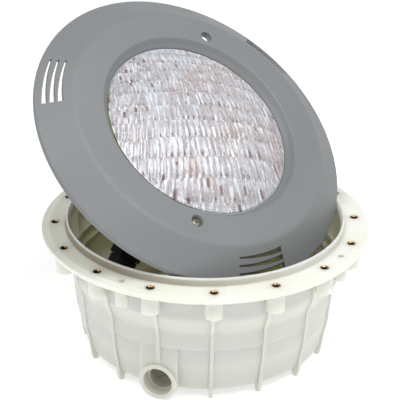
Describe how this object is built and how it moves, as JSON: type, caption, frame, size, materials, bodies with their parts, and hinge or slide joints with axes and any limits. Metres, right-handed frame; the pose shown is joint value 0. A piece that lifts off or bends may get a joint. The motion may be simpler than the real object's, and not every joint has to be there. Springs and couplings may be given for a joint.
{
  "type": "underwater pool light",
  "caption": "Round underwater light: a grey face plate with a domed prismatic lamp, leaning in the mouth of a white flanged wall niche.",
  "frame": {"origin": "centre of the niche flange's top face", "axes": "+Z out of the niche, into the pool; the conduit socket points towards -Y, 19.5 degrees round towards -X"},
  "size_m": [0.2751, 0.2762, 0.2686],
  "materials": {
    "niche_abs": "satin moulded ABS, cream white",
    "trim_abs": "fine-grained moulded ABS, mid grey",
    "insert_brass": "turned brass, slightly dull",
    "screw_steel": "stainless steel",
    "lens_glass": "pressed prismatic glass",
    "reflector_silver": "aluminised glass",
    "tungsten": "drawn tungsten and nickel wire",
    "base_ceramic": "ceramic cement",
    "terminal_brass": "plated brass",
    "core_insulation": "core insulation",
    "cable_rubber": "black rubber sheath",
    "seal_rubber": "moulded silicone, olive",
    "clamp_black": "glass-filled plastic, black",
    "housing_black": "moulded plastic, black"
  },
  "bodies": {
    "niche": {"niche_shell": "niche_abs", "flange_inserts": "insert_brass", "lamp_fixing_inserts": "insert_brass"},
    "lamp_unit": {"rear_housing": "housing_black", "lamp_lens": "lens_glass", "lamp_reflector": "reflector_silver", "lamp_filament": "tungsten", "filament_posts": "tungsten", "lamp_base": "base_ceramic", "terminal_screws": "terminal_brass", "ring_terminals": "terminal_brass", "cable_cores": "core_insulation", "lens_gasket": "seal_rubber", "clamp_ring": "clamp_black", "clamp_screws": "screw_steel", "clamp_inserts": "insert_brass", "gland_body": "clamp_black", "gland_locknut": "clamp_black", "gland_seal": "seal_rubber", "gland_nut": "clamp_black", "lamp_cable": "cable_rubber", "cable_coil": "cable_rubber"},
    "trim": {"face_plate": "trim_abs", "screw_retainer": "seal_rubber"},
    "captive_screw": {"fixing_screw": "screw_steel"}
  },
  "joints": [
    {"name": "lamp_unit_lift", "type": "slide", "parent": "niche", "child": "lamp_unit", "axis": [0, 0, 1], "range_m": [0, 0.22]},
    {"name": "trim_pull_off", "type": "slide", "parent": "lamp_unit", "child": "trim", "axis": [0.4406, -0.4437, 0.7804], "range_m": [0, 0.05]},
    {"name": "captive_screw_turn", "type": "hinge", "parent": "trim", "child": "captive_screw", "pos_m": [-0.00967, -0.07716, 0.03241], "axis": [0.4406, -0.4437, 0.7804], "continuous": true}
  ]
}
